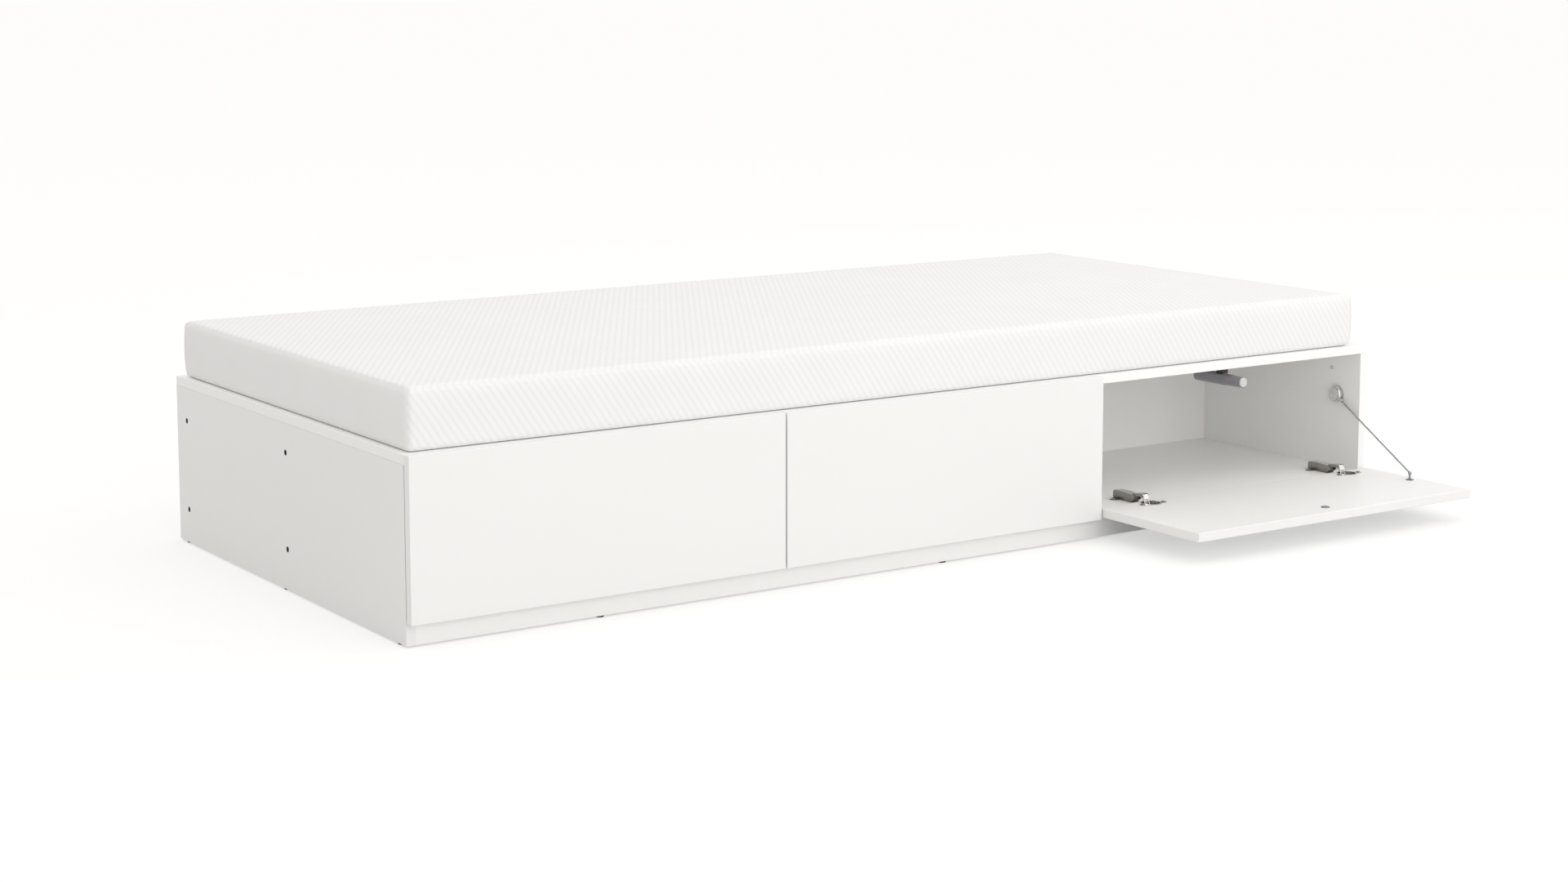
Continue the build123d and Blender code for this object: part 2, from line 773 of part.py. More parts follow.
inside = (board, length - board)
partition_back = partition_front + board
back_faces = (back_y - board / 2, back_y + board / 2)
write("end_panel_left", drilled(block(0, board, 0, depth, glide_height, deck_bottom)))
write("end_panel_right", drilled(block(length - board, length, 0, depth, glide_height, deck_bottom)))
write("deck_panel", drilled(edged_board(0, length, -deck_nose, depth, deck_bottom, height)))
floor_board = block(*inside, 0, partition_front, floor_top - board, floor_top)
write("floor_panel", hinge_screw_holes(drilled(floor_board)))
write("plinth_board", block(*inside, 0, board, glide_height, floor_top - board))
write("middle_partition", drilled(block(*inside, partition_front, partition_back, glide_height, deck_bottom)))
write("back_panel", drilled(block(*inside, *back_faces, glide_height, deck_bottom)))
for name, x in zip(("divider_left", "divider_right"), divider_x):
    write(name, drilled(block(x - board / 2, x + board / 2, 0, partition_front, floor_top, deck_bottom)))

write("end_panel_screws", *[panel_screw(*place) for place in screw_places])
write("wood_dowels", *dowels)
write("floor_glides", *[glide(x, y) for x, y in glide_places()])
write("hole_plugs", *[plug(w) for w in right_walls])
write("hinge_plate_screws", *[s for x in all_hinges for s in plate_screws(x)])
write("mattress", mattress())

for number, (x0, xs, wall, is_open) in enumerate(zip(door_left, hinge_lines, right_walls, standing_open), 1):
    middle = x0 + door_width / 2
    angle = open_angle if is_open else 0.0

    def on_door(shape):
        return swing(shape, swing_axis, angle)

    def on_link(shape, link):
        return shape if is_open else swing(shape, link.arm, -link.turn)

    bracket_x = wall - cable_from_wall
    write(f"door_{number}", on_door(door_panel(x0, xs)))
    write(f"hinge_cups_{number}", *[on_door(s) for x in xs for s in (hinge_cup(x), *cup_pins(x))])
    write(f"door_screws_{number}", *[on_door(s) for x in xs for s in flange_screws(x)])
    write(f"strike_plate_{number}", on_door(strike(middle)))
    write(f"stay_bracket_{number}", on_door(stay_bracket(bracket_x)))
    write(f"front_links_{number}", *[on_link(front_link(x), front) for x in xs])
    write(f"rear_links_{number}", *[on_link(rear_link(x), rear) for x in xs])
    write(f"hinge_arms_{number}", *[s for x in xs for s in (hinge_arm(x), *arm_pins(x))])
    write(f"hinge_plates_{number}", *[hinge_plate(x) for x in xs])
    write(f"stay_housing_{number}", stay_housing(wall))
    write(f"stay_cable_{number}", taut_cable(wall) if is_open else slack_cable(wall))
    write(f"latch_barrel_{number}", latch_barrel(middle))
    write(f"latch_bracket_{number}", latch_bracket(middle))
    pushed_out = Pos(0, -plunger_stroke if is_open else 0, 0)
    write(f"latch_plunger_{number}", pushed_out * latch_plunger(middle))
    write(f"latch_cap_{number}", pushed_out * latch_cap(middle))

print("door axis", round(axis_y, 2), round(axis_z, 2))
for name, link in (("front", front), ("rear", rear)):
    print(name, "link arm pin", [round(v, 3) for v in link.arm], "turn", round(link.turn, 3))
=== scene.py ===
"""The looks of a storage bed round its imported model: board, hardware, stay cables, mattress and studio."""
import json
import math

import bmesh
import bpy
import numpy as np
from mathutils import Euler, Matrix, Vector


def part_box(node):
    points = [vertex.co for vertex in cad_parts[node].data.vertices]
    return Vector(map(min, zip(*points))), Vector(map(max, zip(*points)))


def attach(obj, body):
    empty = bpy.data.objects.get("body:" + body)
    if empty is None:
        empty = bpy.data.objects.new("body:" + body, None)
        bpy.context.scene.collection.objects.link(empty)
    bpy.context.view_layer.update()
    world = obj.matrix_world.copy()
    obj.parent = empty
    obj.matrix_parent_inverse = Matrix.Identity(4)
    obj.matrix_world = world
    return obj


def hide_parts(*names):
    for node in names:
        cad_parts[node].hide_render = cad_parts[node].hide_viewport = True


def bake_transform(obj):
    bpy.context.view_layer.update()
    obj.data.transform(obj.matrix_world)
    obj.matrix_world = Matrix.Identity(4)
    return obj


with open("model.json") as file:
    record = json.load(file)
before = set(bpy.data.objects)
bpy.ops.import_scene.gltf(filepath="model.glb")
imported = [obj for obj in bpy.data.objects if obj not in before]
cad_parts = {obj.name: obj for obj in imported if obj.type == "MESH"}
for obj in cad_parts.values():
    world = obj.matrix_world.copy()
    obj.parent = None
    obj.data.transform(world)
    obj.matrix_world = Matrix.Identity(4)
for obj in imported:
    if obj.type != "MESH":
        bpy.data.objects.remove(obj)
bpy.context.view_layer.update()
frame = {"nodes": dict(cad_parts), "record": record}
nodes = frame["nodes"]

DOORS = (1, 2, 3)
STANDING_OPEN = (3,)

# Nodes of a material


def new_material(name):
    material = bpy.data.materials.new(name)
    material.use_nodes = True
    tree = material.node_tree
    tree.nodes.clear()
    output = tree.nodes.new("ShaderNodeOutputMaterial")
    shader = tree.nodes.new("ShaderNodeBsdfPrincipled")
    tree.links.new(shader.outputs["BSDF"], output.inputs["Surface"])
    return material, tree, shader


def add(tree, kind, **settings):
    """A new node with its own properties and the values of its input sockets."""
    node = tree.nodes.new(kind)
    for key, value in settings.items():
        if hasattr(node, key):
            setattr(node, key, value)
        else:
            node.inputs[key].default_value = value
    return node


def row_coordinates(tree):
    """Every piece's own coordinates are those of the whole bed, in metres."""
    return add(tree, "ShaderNodeTexCoord").outputs["Object"]


def noise(tree, vector, scale, detail=2.0, roughness=0.5):
    node = add(tree, "ShaderNodeTexNoise", Scale=scale, Detail=detail, Roughness=roughness)
    tree.links.new(vector, node.inputs["Vector"])
    return node.outputs["Fac"]


def between(tree, value, low, high, start=0.0, stop=1.0):
    """A value that runs from start to stop, made to run from low to high."""
    node = add(tree, "ShaderNodeMapRange")
    node.inputs["From Min"].default_value = start
    node.inputs["From Max"].default_value = stop
    node.inputs["To Min"].default_value = low
    node.inputs["To Max"].default_value = high
    tree.links.new(value, node.inputs["Value"])
    return node.outputs["Result"]


def blend_colours(tree, factor, first, second):
    node = add(tree, "ShaderNodeMix", data_type="RGBA")
    node.inputs[6].default_value = (*first, 1)
    node.inputs[7].default_value = (*second, 1)
    tree.links.new(factor, node.inputs[0])
    return node.outputs[2]


def darkened(tree, colour, factor, darkest):
    """A colour multiplied by one that runs from the darkest, where the factor is 0, to white."""
    node = add(tree, "ShaderNodeMix", data_type="RGBA", blend_type="MULTIPLY")
    node.inputs[0].default_value = 1.0
    tree.links.new(colour, node.inputs[6])
    tree.links.new(blend_colours(tree, factor, darkest, (1.0, 1.0, 1.0)), node.inputs[7])
    return node.outputs[2]


def bump(tree, shader, height, strength, distance, before=None):
    """Relief on the shader, over the relief that came before."""
    node = add(tree, "ShaderNodeBump", Strength=strength, Distance=distance)
    tree.links.new(height, node.inputs["Height"])
    if before is not None:
        tree.links.new(before, node.inputs["Normal"])
    tree.links.new(node.outputs["Normal"], shader.inputs["Normal"])
    return node.outputs["Normal"]


# Board, metal, plastic and wood, with the scales of their noise in spots to the metre

BOARD_UNEVENNESS = 3.0
BOARD_WAVES = 14.0
BOARD_SHEEN_PATCHES = 60.0
BOARD_PEARL = 900.0
BOARD_ROUGHNESS = (0.36, 0.46)


def board_material(name, light, shade):
    """White foil on particle board: satin, with a fine pearl and a faint broad unevenness."""
    material, tree, shader = new_material(name)
    where = row_coordinates(tree)
    broad = noise(tree, where, BOARD_UNEVENNESS, detail=3.0)
    tree.links.new(blend_colours(tree, broad, light, shade), shader.inputs["Base Color"])
    pearl = noise(tree, where, BOARD_PEARL, detail=3.0, roughness=0.6)
    patches = noise(tree, where, BOARD_SHEEN_PATCHES)
    tree.links.new(between(tree, patches, *BOARD_ROUGHNESS), shader.inputs["Roughness"])
    waves = bump(tree, shader, noise(tree, where, BOARD_WAVES), strength=0.05, distance=0.002)
    bump(tree, shader, pearl, strength=0.10, distance=0.0003, before=waves)
    shader.inputs["Specular IOR Level"].default_value = 0.4
    return material


METAL_STRETCH = (90.0, 900.0, 900.0)
METAL_GRAIN = 3.0
METAL_SMUDGES = 120.0
METAL_ROUGHNESS_SPREAD = 0.16
# Painted shade in hollows: how far the occlusion looks, the grey it darkens to and its samples
HOLLOW_SHADE_REACH = 0.012
HOLLOW_SHADE_GREY = (0.10, 0.095, 0.09)
HOLLOW_SHADE_SAMPLES = 8
# Painted shade on faces turned sideways or down: full below the first height of the normal, gone above the
# second
PAINTED_SIDE_SHADE = (0.48, 0.465, 0.445)
SIDE_SHADE_FADE = (0.1, 0.9)


def metal_material(name, colour, dark, roughness, shaded_sides=False):
    """Plated steel: a drawn grain, faint smudges, painted shade in its hollows and, where asked, painted
    shade on its sides that face sideways or down.
    """
    material, tree, shader = new_material(name)
    where = row_coordinates(tree)
    stretch = add(tree, "ShaderNodeMapping", Scale=METAL_STRETCH)
    tree.links.new(where, stretch.inputs["Vector"])
    grain = noise(tree, stretch.outputs["Vector"], METAL_GRAIN, detail=4.0, roughness=0.6)
    smudge = noise(tree, where, METAL_SMUDGES, detail=3.0)
    base = blend_colours(tree, smudge, colour, dark)
    # Painted shade: hollows and recesses darkened by ambient occlusion
    hollow_shade = add(tree, "ShaderNodeAmbientOcclusion", samples=HOLLOW_SHADE_SAMPLES, Distance=HOLLOW_SHADE_REACH)
    base = darkened(tree, base, hollow_shade.outputs["AO"], HOLLOW_SHADE_GREY)
    if shaded_sides:
        # Painted shade: faces turned sideways or down darkened by their normals
        facing = add(tree, "ShaderNodeSeparateXYZ")
        tree.links.new(add(tree, "ShaderNodeTexCoord").outputs["Normal"], facing.inputs[0])
        level = between(tree, facing.outputs["Z"], 0.0, 1.0, *SIDE_SHADE_FADE)
        base = darkened(tree, base, level, PAINTED_SIDE_SHADE)
    tree.links.new(base, shader.inputs["Base Color"])
    gloss = between(tree, smudge, roughness, roughness + METAL_ROUGHNESS_SPREAD)
    tree.links.new(gloss, shader.inputs["Roughness"])
    bump(tree, shader, grain, strength=0.05, distance=0.0004)
    shader.inputs["Metallic"].default_value = 1.0
    return material


PLASTIC_CLOUDS = 40.0
PLASTIC_SHEEN_PATCHES = 220.0
PLASTIC_GRAIN = 2600.0
PLASTIC_ROUGHNESS_SPREAD = 0.1


def plastic_material(name, colour, dark, roughness):
    """Moulded plastic with a fine spark-eroded grain."""
    material, tree, shader = new_material(name)
    where = row_coordinates(tree)
    clouds = noise(tree, where, PLASTIC_CLOUDS)
    tree.links.new(blend_colours(tree, clouds, colour, dark), shader.inputs["Base Color"])
    patches = noise(tree, where, PLASTIC_SHEEN_PATCHES)
    gloss = between(tree, patches, roughness, roughness + PLASTIC_ROUGHNESS_SPREAD)
    tree.links.new(gloss, shader.inputs["Roughness"])
    bump(tree, shader, noise(tree, where, PLASTIC_GRAIN), strength=0.12, distance=0.0002)
    return material


WOOD_GRAIN = 300.0


def wood_material(name, dark, light):
    """Raw turned wood with a fine grain."""
    material, tree, shader = new_material(name)
    grain = noise(tree, row_coordinates(tree), WOOD_GRAIN, detail=5.0)
    tree.links.new(blend_colours(tree, grain, dark, light), shader.inputs["Base Color"])
    shader.inputs["Roughness"].default_value = 0.7
    bump(tree, shader, grain, strength=0.2, distance=0.0003)
    return material


# Mattress cover. The ribs cross these directions on its top and on its long sides.

RIB_PITCH = 0.0108
TOP_RIBS = Vector((0.854, -0.519, 0.0)).normalized()
SIDE_RIBS = Vector((0.82, 0.0, 0.57)).normalized()
TOP_FADE = (0.45, 0.8)
RIB_WOBBLE = 0.0012
RIB_WOBBLE_SCALE = 45.0
RIB_ROUNDING = 0.6
# Painted shade in the ribs' valleys
PAINTED_VALLEY_SHADE = (0.955, 0.95, 0.965)
TICKING_SHADE = (0.875, 0.875, 0.868)
TICKING_LIGHT = (0.915, 0.915, 0.908)
TICKING_MOTTLE = 9.0
TICKING_STITCHES = 700.0
TICKING_PUCKERS = 40.0


def ribs(tree, where, direction):
    """A wave from -1 to 1 across a direction, one crest to each pitch."""
    across = add(tree, "ShaderNodeVectorMath", operation="DOT_PRODUCT")
    across.inputs[1].default_value = tuple(2 * math.pi / RIB_PITCH * c for c in direction)
    tree.links.new(where, across.inputs[0])
    wave = add(tree, "ShaderNodeMath", operation="SINE")
    tree.links.new(across.outputs["Value"], wave.inputs[0])
    return wave.outputs[0]


def rib_height(tree, where):
    """Slightly wavering ribs, from 0 in their valleys to 1 on their broader crests."""
    normal = add(tree, "ShaderNodeSeparateXYZ")
    tree.links.new(add(tree, "ShaderNodeNewGeometry").outputs["Normal"], normal.inputs[0])
    upright = add(tree, "ShaderNodeMath", operation="ABSOLUTE")
    tree.links.new(normal.outputs["Z"], upright.inputs[0])
    facing_up = between(tree, upright.outputs[0], 0.0, 1.0, *TOP_FADE)
    wobble = add(tree, "ShaderNodeVectorMath", operation="MULTIPLY_ADD")
    wobble.inputs[1].default_value = (RIB_WOBBLE, RIB_WOBBLE, RIB_WOBBLE)
    turbulence = add(tree, "ShaderNodeTexNoise", Scale=RIB_WOBBLE_SCALE)
    tree.links.new(where, turbulence.inputs["Vector"])
    tree.links.new(turbulence.outputs["Color"], wobble.inputs[0])
    tree.links.new(where, wobble.inputs[2])
    wave = add(tree, "ShaderNodeMix", data_type="FLOAT")
    tree.links.new(facing_up, wave.inputs[0])
    tree.links.new(ribs(tree, wobble.outputs[0], SIDE_RIBS), wave.inputs[2])
    tree.links.new(ribs(tree, wobble.outputs[0], TOP_RIBS), wave.inputs[3])
    height = add(tree, "ShaderNodeMath", operation="POWER")
    height.inputs[1].default_value = RIB_ROUNDING
    tree.links.new(between(tree, wave.outputs[0], 0.0, 1.0, -1.0, 1.0), height.inputs[0])
    return height.outputs[0]


def ticking_material(name, ribbed):
    """Knitted mattress cover. The ribbed cloth has slanting ribs on its top and its long sides, with painted
    shade in their valleys.
    """
    material, tree, shader = new_material(name)
    where = row_coordinates(tree)
    mottle = noise(tree, where, TICKING_MOTTLE, detail=4.0)
    stitches = noise(tree, where, TICKING_STITCHES, roughness=0.7)
    base = blend_colours(tree, mottle, TICKING_SHADE, TICKING_LIGHT)
    if ribbed:
        height = rib_height(tree, where)
        # Painted shade in the valleys between the ribs
        base = darkened(tree, base, height, PAINTED_VALLEY_SHADE)
        coarse = bump(tree, shader, height, strength=0.35, distance=0.0009)
        bump(tree, shader, stitches, strength=0.18, distance=0.0005, before=coarse)
    else:
        soft = bump(tree, shader, noise(tree, where, TICKING_PUCKERS), strength=0.12, distance=0.002)
        bump(tree, shader, stitches, strength=0.22, distance=0.0006, before=soft)
    tree.links.new(base, shader.inputs["Base Color"])
    shader.inputs["Roughness"].default_value = 0.92
    shader.inputs["Sheen Weight"].default_value = 0.12
    shader.inputs["Specular IOR Level"].default_value = 0.15
    return material


# Looks of the carried-over nodes. The mattress has none here, because a piece of its own replaces it.

front_board = board_material("front_board", (0.89, 0.89, 0.882), (0.875, 0.875, 0.866))
# The carcass: a lighter copy of the same white board, painted light that brightens the shaded inside of the
# box
lightened_carcass_board = board_material("lightened_carcass_board", (0.955, 0.955, 0.945), (0.94, 0.94, 0.93))
nickel = metal_material("nickel_plate", (0.86, 0.85, 0.83), (0.74, 0.73, 0.71), 0.18)
# Hinge arms and plates: a darker copy of the same nickel, painted shade, with painted shade on their sides as
# well
shaded_arm_nickel = metal_material("shaded_arm_nickel", (0.80, 0.785, 0.76), (0.62, 0.605, 0.58), 0.22, shaded_sides=True)
screw_steel = metal_material("screw_steel", (0.42, 0.42, 0.43), (0.30, 0.30, 0.31), 0.30)
dark_steel = metal_material("dark_steel", (0.022, 0.022, 0.024), (0.012, 0.012, 0.014), 0.45)
wire_steel = metal_material("wire_steel", (0.62, 0.615, 0.60), (0.42, 0.42, 0.41), 0.26)
blue_grey_plastic = plastic_material("blue_grey_plastic", (0.27, 0.265, 0.285), (0.235, 0.232, 0.25), 0.36)
black_plastic = plastic_material("black_plastic", (0.018, 0.018, 0.02), (0.03, 0.03, 0.032), 0.45)
white_plastic = plastic_material("white_plastic", (0.64, 0.65, 0.61), (0.60, 0.61, 0.57), 0.34)
beech = wood_material("beech", (0.62, 0.44, 0.27), (0.74, 0.57, 0.38))

SLOT_LOOKS = {
    "board": lightened_carcass_board,
    "nickel": nickel,
    "screw": screw_steel,
    "dark_screw": dark_steel,
    "cable": wire_steel,
    "grey_plastic": blue_grey_plastic,
    "black_plastic": black_plastic,
    "white_plastic": white_plastic,
    "dowel_wood": beech,
}
NODE_LOOKS = {"end_panel_left": front_board}
for number in DOORS:
    NODE_LOOKS[f"door_{number}"] = front_board
    NODE_LOOKS[f"hinge_arms_{number}"] = NODE_LOOKS[f"hinge_plates_{number}"] = shaded_arm_nickel
for subpart in frame["record"]["subparts"]:
    look = NODE_LOOKS.get(subpart["node"], SLOT_LOOKS.get(subpart["material_slot"]))
    if look is not None:
        carried = nodes[subpart["node"]]
        carried.data.materials.clear()
        carried.data.materials.append(look)

# Mesh helpers


def piece(name, mesh, material):
    made = bpy.data.objects.new(name, mesh)
    bpy.context.collection.objects.link(made)
    mesh.materials.append(material)
    return made


def tangents_along(line):
    last = len(line) - 1
    return [(line[min(i + 1, last)] - line[max(i - 1, 0)]).normalized() for i in range(len(line))]


def tube_mesh(name, path, radius, sides):
    """A tube around a list of points, closed at both ends, with a frame carried along it."""
    verts, faces = [], []
    tangents = tangents_along(path)
    normal = tangents[0].orthogonal().normalized()
    for i, (centre, tangent) in enumerate(zip(path, tangents)):
        if i:
            normal = (normal - tangent * normal.dot(tangent)).normalized()
        side = tangent.cross(normal)
        for k in range(sides):
            turn = 2 * math.pi * k / sides
            verts.append(centre + radius * (math.cos(turn) * normal + math.sin(turn) * side))
    for i in range(len(path) - 1):
        for k in range(sides):
            a, b = i * sides + k, i * sides + (k + 1) % sides
            faces.append((a, b, b + sides, a + sides))
    faces.append(tuple(reversed(range(sides))))
    last = (len(path) - 1) * sides
    faces.append(tuple(last + k for k in range(sides)))
    mesh = bpy.data.meshes.new(name)
    mesh.from_pydata(verts, [], faces)
    return mesh


# Stay cables: stranded steel wire from the housing's nozzle to the ball on the door

CARCASS_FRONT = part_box("end_panel_left")[0][1]
MM_PER_METRE = 1000
# Route of a slack cable in the side view, from nozzle to ball, in mm from the carcass front and the floor
SLACK_ROUTE = [
    (42.8, 186.1), (34.9, 181.1), (31.6, 168.5), (30.4, 154.5), (30.0, 140.5), (29.2, 128.0),
    (24.4, 123.2), (17.6, 123.2), (12.8, 128.0), (11.6, 140.5), (11.0, 154.0), (11.3, 167.4),
]
ROUTE_RESOLUTION = 12
# Straight runs along the line of a taut cable
TAUT_RUNS = 8

CABLE_RADIUS = 0.0018
CABLE_STEP = 0.0010
LEAST_LAST_STEP = 0.3
STRANDS = 6
STRAND_SIDES = 5
LAY_LENGTH = 0.014
CORE_SIDES = 6
# Radius of the rope, and of its core, over that of a strand
ROPE_TO_STRAND = 3.0
CORE_TO_STRAND = 1.3
SMOOTH_BELOW = 60.0


def nurbs_points(points):
    """The smooth line of a spline with the given control points."""
    curve = bpy.data.curves.new("route", "CURVE")
    curve.dimensions = "3D"
    spline = curve.splines.new("NURBS")
    spline.points.add(len(points) - 1)
    for point, place in zip(spline.points, points):
        point.co = (*place, 1)
    spline.order_u = 3
    spline.use_endpoint_u = True
    spline.resolution_u = ROUTE_RESOLUTION
    carrier = bpy.data.objects.new("route", curve)
    bpy.context.collection.objects.link(carrier)
    mesh = bpy.data.meshes.new_from_object(carrier)
    line = [v.co.copy() for v in mesh.vertices]
    bpy.data.objects.remove(carrier)
    bpy.data.meshes.remove(mesh)
    return line


def resampled(line):
    """Points at even steps along a line."""
    out, left = [line[0].copy()], CABLE_STEP
    for a, b in zip(line, line[1:]):
        length = (b - a).length
        at = left
        while at < length:
            out.append(a.lerp(b, at / length))
            at += CABLE_STEP
        left = at - length
    if (out[-1] - line[-1]).length > CABLE_STEP * LEAST_LAST_STEP:
        out.append(line[-1].copy())
    else:
        out[-1] = line[-1].copy()
    return out


def taut_line(x, low, high):
    """The straight cable, drawn in at its ends so that its thicker rope stays in the CAD cable's box."""
    top, bottom = Vector((x, high[1], high[2])), Vector((x, low[1], low[2]))
    run = (top - bottom).normalized()
    inset = Vector((0, run[2], run[1])) * CABLE_RADIUS
    top, bottom = top - inset, bottom + inset
    return [top.lerp(bottom, k / TAUT_RUNS) for k in range(TAUT_RUNS + 1)]


def wire_rope(name, line, radius):
    """Outer strands laid round a core, each a fine tube on a helix about the line."""
    total, runs = 0.0, [0.0]
    for a, b in zip(line, line[1:]):
        total += (b - a).length
        runs.append(total)
    tangents = tangents_along(line)
    reference = Vector((1, 0, 0))
    strand_radius = radius / ROPE_TO_STRAND
    tubes = [tube_mesh("core", line, strand_radius * CORE_TO_STRAND, CORE_SIDES)]
    for strand in range(STRANDS):
        path = []
        for centre, tangent, run in zip(line, tangents, runs):
            across = (reference - tangent * reference.dot(tangent)).normalized()
            side = tangent.cross(across)
            turn = 2 * math.pi * (run / LAY_LENGTH + strand / STRANDS)
            path.append(centre + (radius - strand_radius) * (math.cos(turn) * across + math.sin(turn) * side))
        tubes.append(tube_mesh("strand", path, strand_radius, STRAND_SIDES))
    whole = bmesh.new()
    for tube in tubes:
        whole.from_mesh(tube)
        bpy.data.meshes.remove(tube)
    mesh = bpy.data.meshes.new(name)
    whole.to_mesh(mesh)
    whole.free()
    made = piece(name, mesh, wire_steel)
    for face in mesh.polygons:
        face.use_smooth = True
    mesh.set_sharp_from_angle(angle=math.radians(SMOOTH_BELOW))
    return made


def stay_cable(number):
    low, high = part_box(f"stay_cable_{number}")
    x = (low[0] + high[0]) / 2
    if number in STANDING_OPEN:
        line = taut_line(x, low, high)
    else:
        line = nurbs_points([(x, CARCASS_FRONT + y / MM_PER_METRE, z / MM_PER_METRE) for y, z in SLACK_ROUTE])
    line = resampled(line)
    cable = wire_rope(f"stay_wire_{number}", line, CABLE_RADIUS)
    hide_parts(f"stay_cable_{number}")
    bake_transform(cable)


for number in DOORS:
    stay_cable(number)

# Mattress

MATTRESS_STEP = 0.012
MATTRESS_ROLL = 0.009
MATTRESS_CORNER = 0.0055
MATTRESS_CROWN = 0.0028
MATTRESS_BULGE = 0.0022
ON_A_SIDE = 0.999
SHORTEST = 1e-9
# Faces that look more than this towards an end of the bed have the plain cloth
END_FACING = 0.75


def gridded_cube(counts):
    """A cube from -1 to 1 with each face cut into a grid, the grids joined along the edges."""
    shape = bmesh.new()
    seen = {}

    def vertex(*key):
        if key not in seen:
            seen[key] = shape.verts.new([2 * k / count - 1 for k, count in zip(key, counts)])
        return seen[key]

    def grid(axis, level):
        a, b = (n for n in range(3) if n != axis)
        for p in range(counts[a]):
            for q in range(counts[b]):
                corners = []
                for dp, dq in ((0, 0), (1, 0), (1, 1), (0, 1)):
                    index = [0, 0, 0]
                    index[axis], index[a], index[b] = level, p + dp, q + dq
                    corners.append(vertex(*index))
                shape.faces.new(corners)

    for axis in range(3):
        grid(axis, 0)
        grid(axis, counts[axis])
    bmesh.ops.recalc_face_normals(shape, faces=shape.faces)
    return shape


def foam_place(unit, half):
    """Where a point of the cube lies on the mattress, from its centre."""
    place = unit * half
    inner = half - np.array([MATTRESS_CORNER, MATTRESS_CORNER, MATTRESS_ROLL])
    rest = np.clip(place, -inner, inner)
    over = place - rest
    scaled = over / (half - inner)
    size = np.linalg.norm(scaled)
    if size > SHORTEST:
        place = rest + over * (np.max(np.abs(scaled)) / size)
    bulge = MATTRESS_BULGE * (1 - unit[2] ** 2)
    for n in (0, 1):
        if abs(unit[n]) > ON_A_SIDE:
            place[n] += math.copysign(bulge, unit[n]) - math.copysign(MATTRESS_BULGE, unit[n])
    crown = MATTRESS_CROWN * (1 - unit[0] ** 2) * (1 - unit[1] ** 2)
    top_share = (unit[2] + 1) / 2
    place[2] += (crown - MATTRESS_CROWN) * max(0.0, top_share)
    return place


def mattress_piece():
    """A foam block in a knitted cover: a crowned top, rolled edges and sides that swell at mid-height."""
    low, high = (np.array(c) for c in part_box("mattress"))
    centre = (low + high) / 2
    half = (high - low) / 2
    shape = gridded_cube([max(2, int(round(2 * h / MATTRESS_STEP))) for h in half])
    for v in shape.verts:
        v.co = centre + foam_place(np.array(v.co), half)
    mesh = bpy.data.meshes.new("mattress_cover")
    shape.to_mesh(mesh)
    shape.free()
    made = piece("mattress_cover", mesh, ticking_material("ribbed_ticking", True))
    mesh.materials.append(ticking_material("plain_ticking", False))
    for face in mesh.polygons:
        face.use_smooth = True
        if abs(face.normal.x) > END_FACING:
            face.material_index = 1
    return made


mattress = mattress_piece()
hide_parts("mattress")
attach(mattress, "carcass")

# Studio

FLOOR_REACH = 60.0
FLOOR_COLOUR = (0.72, 0.72, 0.714)
SEEN_FLOOR_COLOUR = (0.50, 0.50, 0.488)
SEEN_FLOOR_GLOW = 0.52
BACKGROUND = (0.985, 0.985, 0.98)
SKY_COLOUR = (1.0, 0.988, 0.972)
LOW_SKY, HIGH_SKY = 0.53, 1.13
LAMP_TARGET = (0, 0, 0.2)


def camera_sees(tree):
    """1 for rays that come straight from the camera or by way of metal and glass."""
    path = add(tree, "ShaderNodeLightPath")
    seen = path.outputs["Is Camera Ray"]
    for other in ("Is Glossy Ray", "Is Transmission Ray"):
        either = add(tree, "ShaderNodeMath", operation="MAXIMUM")
        tree.links.new(seen, either.inputs[0])
        tree.links.new(path.outputs[other], either.inputs[1])
        seen = either.outputs[0]
    return seen


def show(tree, output, unseen, seen):
    """Shows the camera one shader, and lights the bed by the other."""
    choose = add(tree, "ShaderNodeMixShader")
    tree.links.new(camera_sees(tree), choose.inputs[0])
    tree.links.new(unseen.outputs[0], choose.inputs[1])
    tree.links.new(seen.outputs[0], choose.inputs[2])
    tree.links.new(choose.outputs[0], output.inputs["Surface"])


def studio_floor():
    """A level floor that looks nearly white and still takes the bed's shadow."""
    mesh = bpy.data.meshes.new("studio_floor")
    corners = [(x * FLOOR_REACH, y * FLOOR_REACH, 0) for x, y in ((-1, -1), (1, -1), (1, 1), (-1, 1))]
    mesh.from_pydata(corners, [], [(0, 1, 2, 3)])
    material = bpy.data.materials.new("studio_floor")
    material.use_nodes = True
    tree = material.node_tree
    tree.nodes.clear()
    output = tree.nodes.new("ShaderNodeOutputMaterial")
    unseen = add(tree, "ShaderNodeBsdfDiffuse", Color=(*FLOOR_COLOUR, 1))
    matt = add(tree, "ShaderNodeBsdfDiffuse", Color=(*SEEN_FLOOR_COLOUR, 1))
    glow = add(tree, "ShaderNodeEmission", Strength=SEEN_FLOOR_GLOW)
    seen = add(tree, "ShaderNodeAddShader")
    tree.links.new(matt.outputs[0], seen.inputs[0])
    tree.links.new(glow.outputs[0], seen.inputs[1])
    show(tree, output, unseen, seen)
    floor = piece("studio_floor", mesh, material)


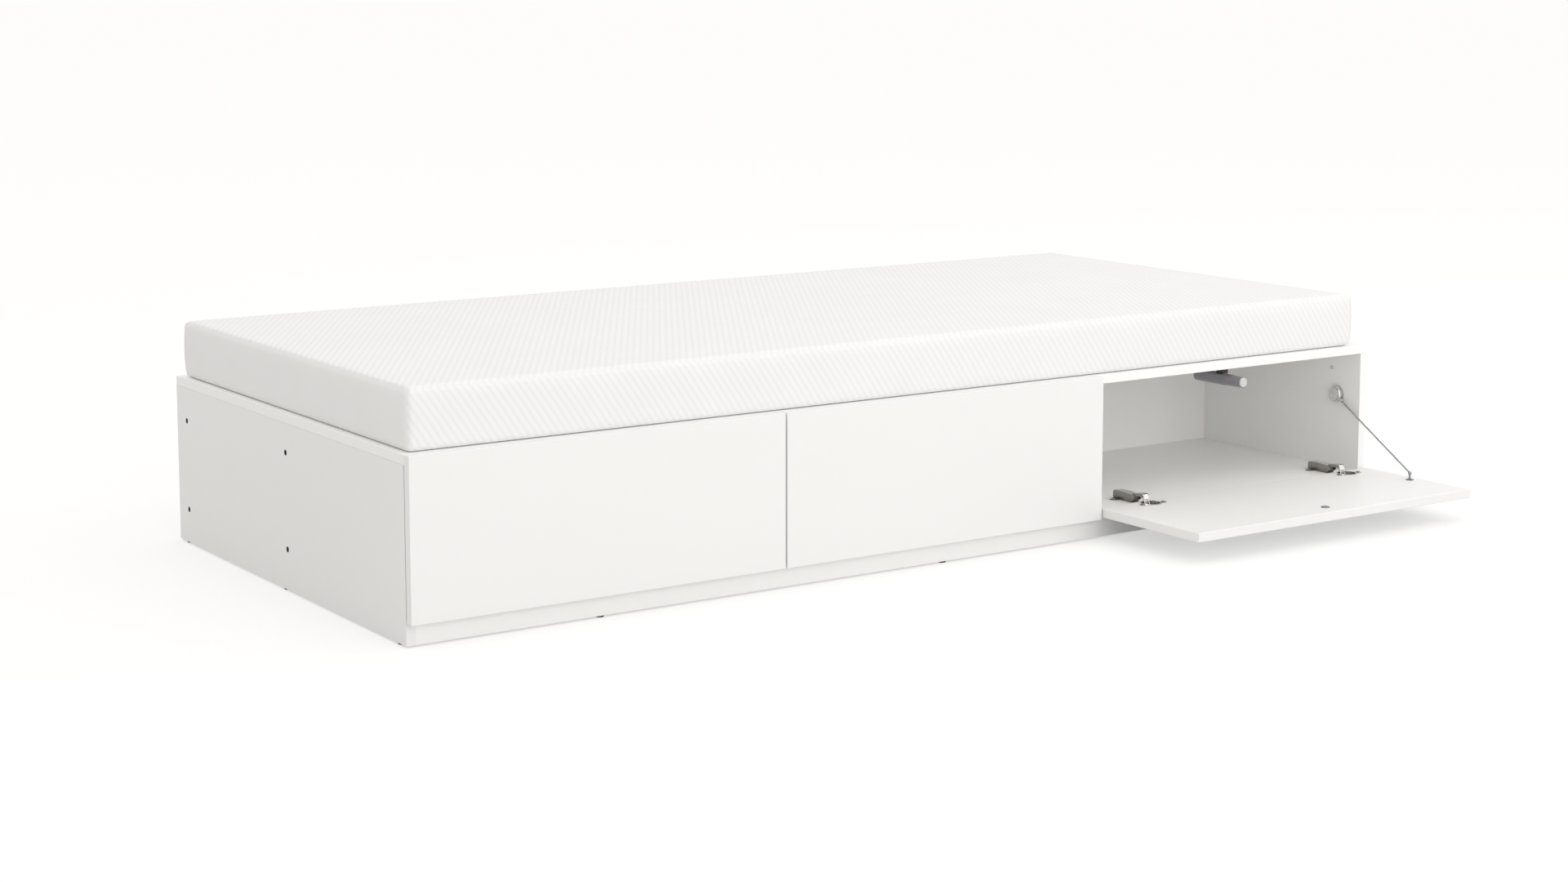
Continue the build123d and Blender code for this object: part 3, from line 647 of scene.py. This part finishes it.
def studio_world():
    """Soft light that is stronger from above, behind a plain pale background."""
    world = bpy.data.worlds.new("studio")
    bpy.context.scene.world = world
    world.use_nodes = True
    tree = world.node_tree
    tree.nodes.clear()
    output = tree.nodes.new("ShaderNodeOutputWorld")
    ambient = add(tree, "ShaderNodeBackground", Color=(*SKY_COLOUR, 1))
    sky = add(tree, "ShaderNodeSeparateXYZ")
    tree.links.new(add(tree, "ShaderNodeTexCoord").outputs["Generated"], sky.inputs[0])
    tree.links.new(between(tree, sky.outputs["Z"], LOW_SKY, HIGH_SKY), ambient.inputs["Strength"])
    backdrop = add(tree, "ShaderNodeBackground", Color=(*BACKGROUND, 1), Strength=1.0)
    show(tree, output, ambient, backdrop)


def area_lamp(name, place, size, power):
    lamp = bpy.data.lights.new(name, "AREA")
    lamp.shape = "RECTANGLE"
    lamp.size, lamp.size_y = size
    lamp.energy = power
    made = bpy.data.objects.new(name, lamp)
    bpy.context.collection.objects.link(made)
    made.location = place
    made.rotation_euler = (Vector(LAMP_TARGET) - Vector(place)).to_track_quat("-Z", "Y").to_euler()


studio_floor()
studio_world()
area_lamp("front_light", place=(0.0, -5.2, 1.6), size=(5.0, 3.0), power=67.0)
area_lamp("side_light", place=(4.5, -2.5, 3.5), size=(2.5, 2.5), power=40.0)

# Camera, at the photograph's viewing angle

SENSOR_WIDTH = 36.0
FOCAL_LENGTH = 60.41
CAMERA_PLACE = (-2.7294, -3.9788, 1.0307)
CAMERA_HEADING = 55.92
CAMERA_PITCH = 6.967
CAMERA_SHIFT = -0.10
CAMERA_REACH = 200.0

camera_data = bpy.data.cameras.new("camera")
camera_data.sensor_width = SENSOR_WIDTH
camera_data.lens = FOCAL_LENGTH
camera_data.shift_y = CAMERA_SHIFT
camera_data.clip_end = CAMERA_REACH
camera = bpy.data.objects.new("camera", camera_data)
bpy.context.collection.objects.link(camera)
camera.location = CAMERA_PLACE
camera.rotation_euler = Euler((math.radians(90 - CAMERA_PITCH), 0, math.radians(CAMERA_HEADING - 90)), "XYZ")
scene = bpy.context.scene
scene.camera = camera
scene.view_settings.view_transform = "Standard"
